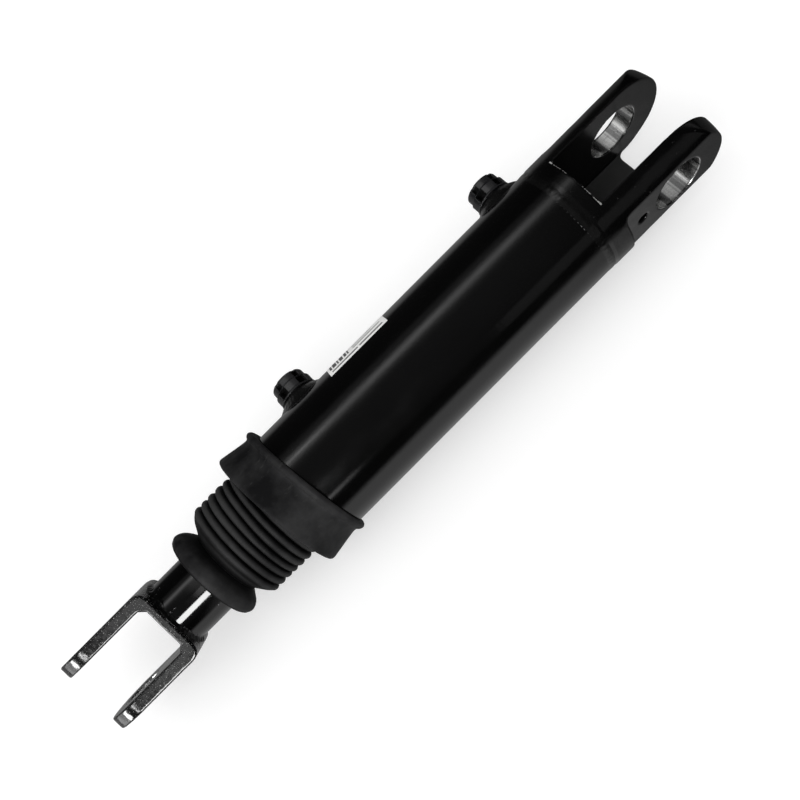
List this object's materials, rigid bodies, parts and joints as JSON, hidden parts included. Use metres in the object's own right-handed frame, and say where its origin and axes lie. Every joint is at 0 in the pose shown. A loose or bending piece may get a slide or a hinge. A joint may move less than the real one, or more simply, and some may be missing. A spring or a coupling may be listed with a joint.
{
  "type": "hydraulic cylinder",
  "caption": "Double-acting hydraulic cylinder with clevis ends, plugged side ports and a rubber bellows boot over its chromed rod.",
  "frame": {"origin": "centre of the base clevis's pin bore, on the cylinder's axis", "axes": "+X along the cylinder towards the rod end, +Y along the base pin bore, +Z square to both; the ports face -Y"},
  "size_m": [0.5829, 0.117, 0.1028],
  "materials": {
    "black_paint": "satin to gloss black enamel",
    "rough_black_paint": "black paint over a rough forged skin",
    "chrome_rod": "hard chrome, polished",
    "machined_steel": "turned steel",
    "boot_rubber": "matt moulded rubber",
    "plug_plastic": "moulded black plastic",
    "label_film": "white printed film with grey bars",
    "nitrile": "smooth",
    "ptfe": "waxy",
    "guide_resin": "fabric resin",
    "seal_polyurethane": "smooth"
  },
  "bodies": {
    "barrel": {"base_clevis": "black_paint", "base_weld": "black_paint", "barrel_tube": "black_paint", "base_port_boss": "black_paint", "base_port_weld": "black_paint", "rod_port_boss": "black_paint", "rod_port_weld": "black_paint", "nameplate_label": "label_film", "gland_head": "machined_steel", "gland_o_ring": "nitrile", "gland_backup_ring": "ptfe", "rod_guide_rings": "guide_resin", "rod_seal": "seal_polyurethane", "rod_buffer_seal": "seal_polyurethane", "rod_wiper": "seal_polyurethane", "boot_collar": "boot_rubber", "boot_bellows": "boot_rubber"},
    "boot_cuff": {"boot_cuff": "boot_rubber"},
    "rod": {"piston_rod": "chrome_rod", "piston": "machined_steel", "piston_seal": "seal_polyurethane", "piston_wear_rings": "guide_resin", "piston_o_ring": "nitrile", "stop_spacer": "machined_steel", "piston_nut": "machined_steel", "rod_weld": "black_paint", "rod_clevis": "rough_black_paint"},
    "base_plug": {"base_port_plug": "plug_plastic"},
    "rod_plug": {"rod_port_plug": "plug_plastic"}
  },
  "joints": [
    {"name": "rod_slide", "type": "slide", "parent": "barrel", "child": "boot_cuff", "axis": [1, 0, 0], "range_m": [0, 0.13], "deforming": ["boot_bellows"]},
    {"name": "rod_spin", "type": "hinge", "parent": "boot_cuff", "child": "rod", "pos_m": [0.42, 0, 0], "axis": [1, 0, 0], "continuous": true},
    {"name": "base_plug_pull", "type": "slide", "parent": "barrel", "child": "base_plug", "axis": [0, -1, 0], "range_m": [0, 0.03]},
    {"name": "rod_plug_pull", "type": "slide", "parent": "barrel", "child": "rod_plug", "axis": [0, -1, 0], "range_m": [0, 0.03]}
  ]
}
